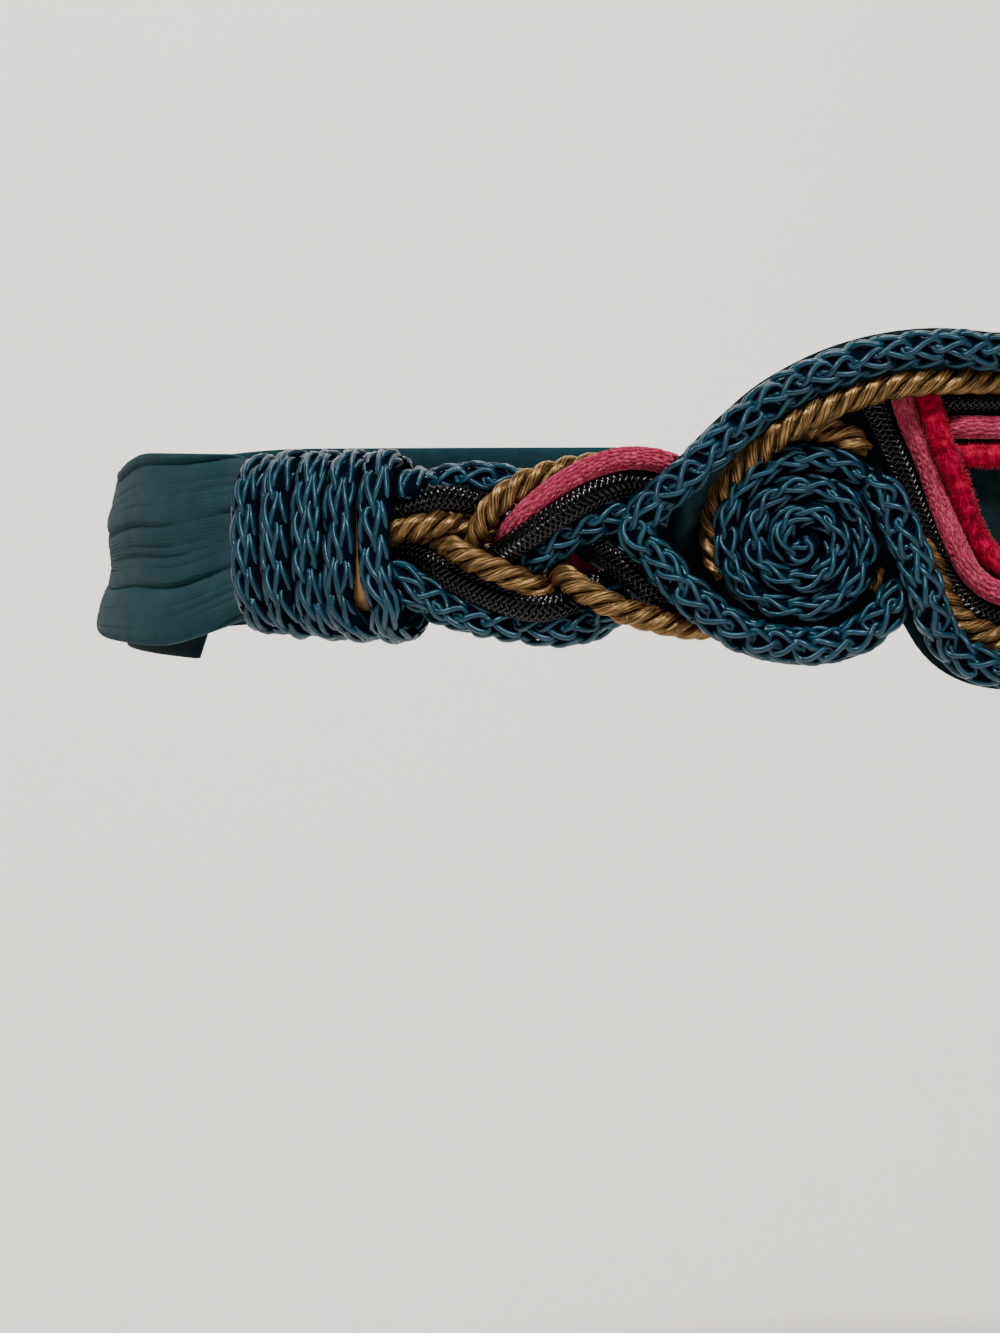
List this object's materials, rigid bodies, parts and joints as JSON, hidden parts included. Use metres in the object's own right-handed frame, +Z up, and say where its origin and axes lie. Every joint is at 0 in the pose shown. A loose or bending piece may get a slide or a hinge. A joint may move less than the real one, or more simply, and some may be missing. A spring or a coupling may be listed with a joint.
{
  "type": "rope belt",
  "caption": "Worn belt of plaited and coiled cords on a cloth backing, with wound barrels and a gathered cloth strap round the back.",
  "frame": {"origin": "middle of the waist that the belt holds, at the height of the rosettes' middle", "axes": "+Z up, +X towards the viewer's right as worn and seen from the front, the belt's front faces -Y"},
  "size_m": [0.2542, 0.203, 0.0528],
  "materials": {
    "teal_cord": "knitted cord of shiny twisted gimp",
    "gold_rope": "satin twisted rope of three plies",
    "black_braid": "flat plaited braid",
    "rose_cord": "matt knitted cord, heathered",
    "red_cord": "velvety chenille cord",
    "wrap_core": "smooth satin cloth over padding",
    "strap_cloth": "ribbed crinkled stretch cloth",
    "backing_cloth": "dark plain cloth",
    "clasp": "brushed"
  },
  "bodies": {
    "root": {"upper_cord": "teal_cord", "lower_cord": "teal_cord", "gold_rope_top": "gold_rope", "gold_rope_bottom": "gold_rope", "rosette_rope_left": "gold_rope", "rosette_rope_right": "gold_rope", "rope_end_left": "gold_rope", "rope_end_right": "gold_rope", "black_bow": "black_braid", "rose_bow": "rose_cord", "red_bow": "red_cord", "black_bar": "black_braid", "rose_bar": "rose_cord", "red_bar": "red_cord", "plait_a_teal_left": "teal_cord", "plait_a_teal_right": "teal_cord", "plait_a_black_left": "black_braid", "plait_a_black_right": "black_braid", "plait_a_gold_left": "gold_rope", "plait_a_gold_right": "gold_rope", "plait_a_rose_left": "rose_cord", "plait_a_rose_right": "rose_cord", "plait_b_gold_left": "gold_rope", "plait_b_gold_right": "gold_rope", "plait_b_black_left": "black_braid", "plait_b_black_right": "black_braid", "plait_b_teal_left": "teal_cord", "plait_b_teal_right": "teal_cord", "plait_c_gold_left": "gold_rope", "plait_c_gold_right": "gold_rope", "plait_c_rose_left": "rose_cord", "plait_c_rose_right": "rose_cord", "plait_c_black_left": "black_braid", "plait_c_black_right": "black_braid", "plait_c_teal_left": "teal_cord", "plait_c_teal_right": "teal_cord", "rosette_left": "teal_cord", "rosette_right": "teal_cord", "wrap_cord_left": "teal_cord", "wrap_cord_right": "teal_cord", "wrap_core_left": "wrap_core", "wrap_core_right": "wrap_core", "waist_strap_left": "strap_cloth", "waist_strap_right": "strap_cloth", "strap_under_left": "strap_cloth", "strap_under_right": "strap_cloth", "back_clasp": "clasp", "motif_backing": "backing_cloth"}
  },
  "joints": []
}
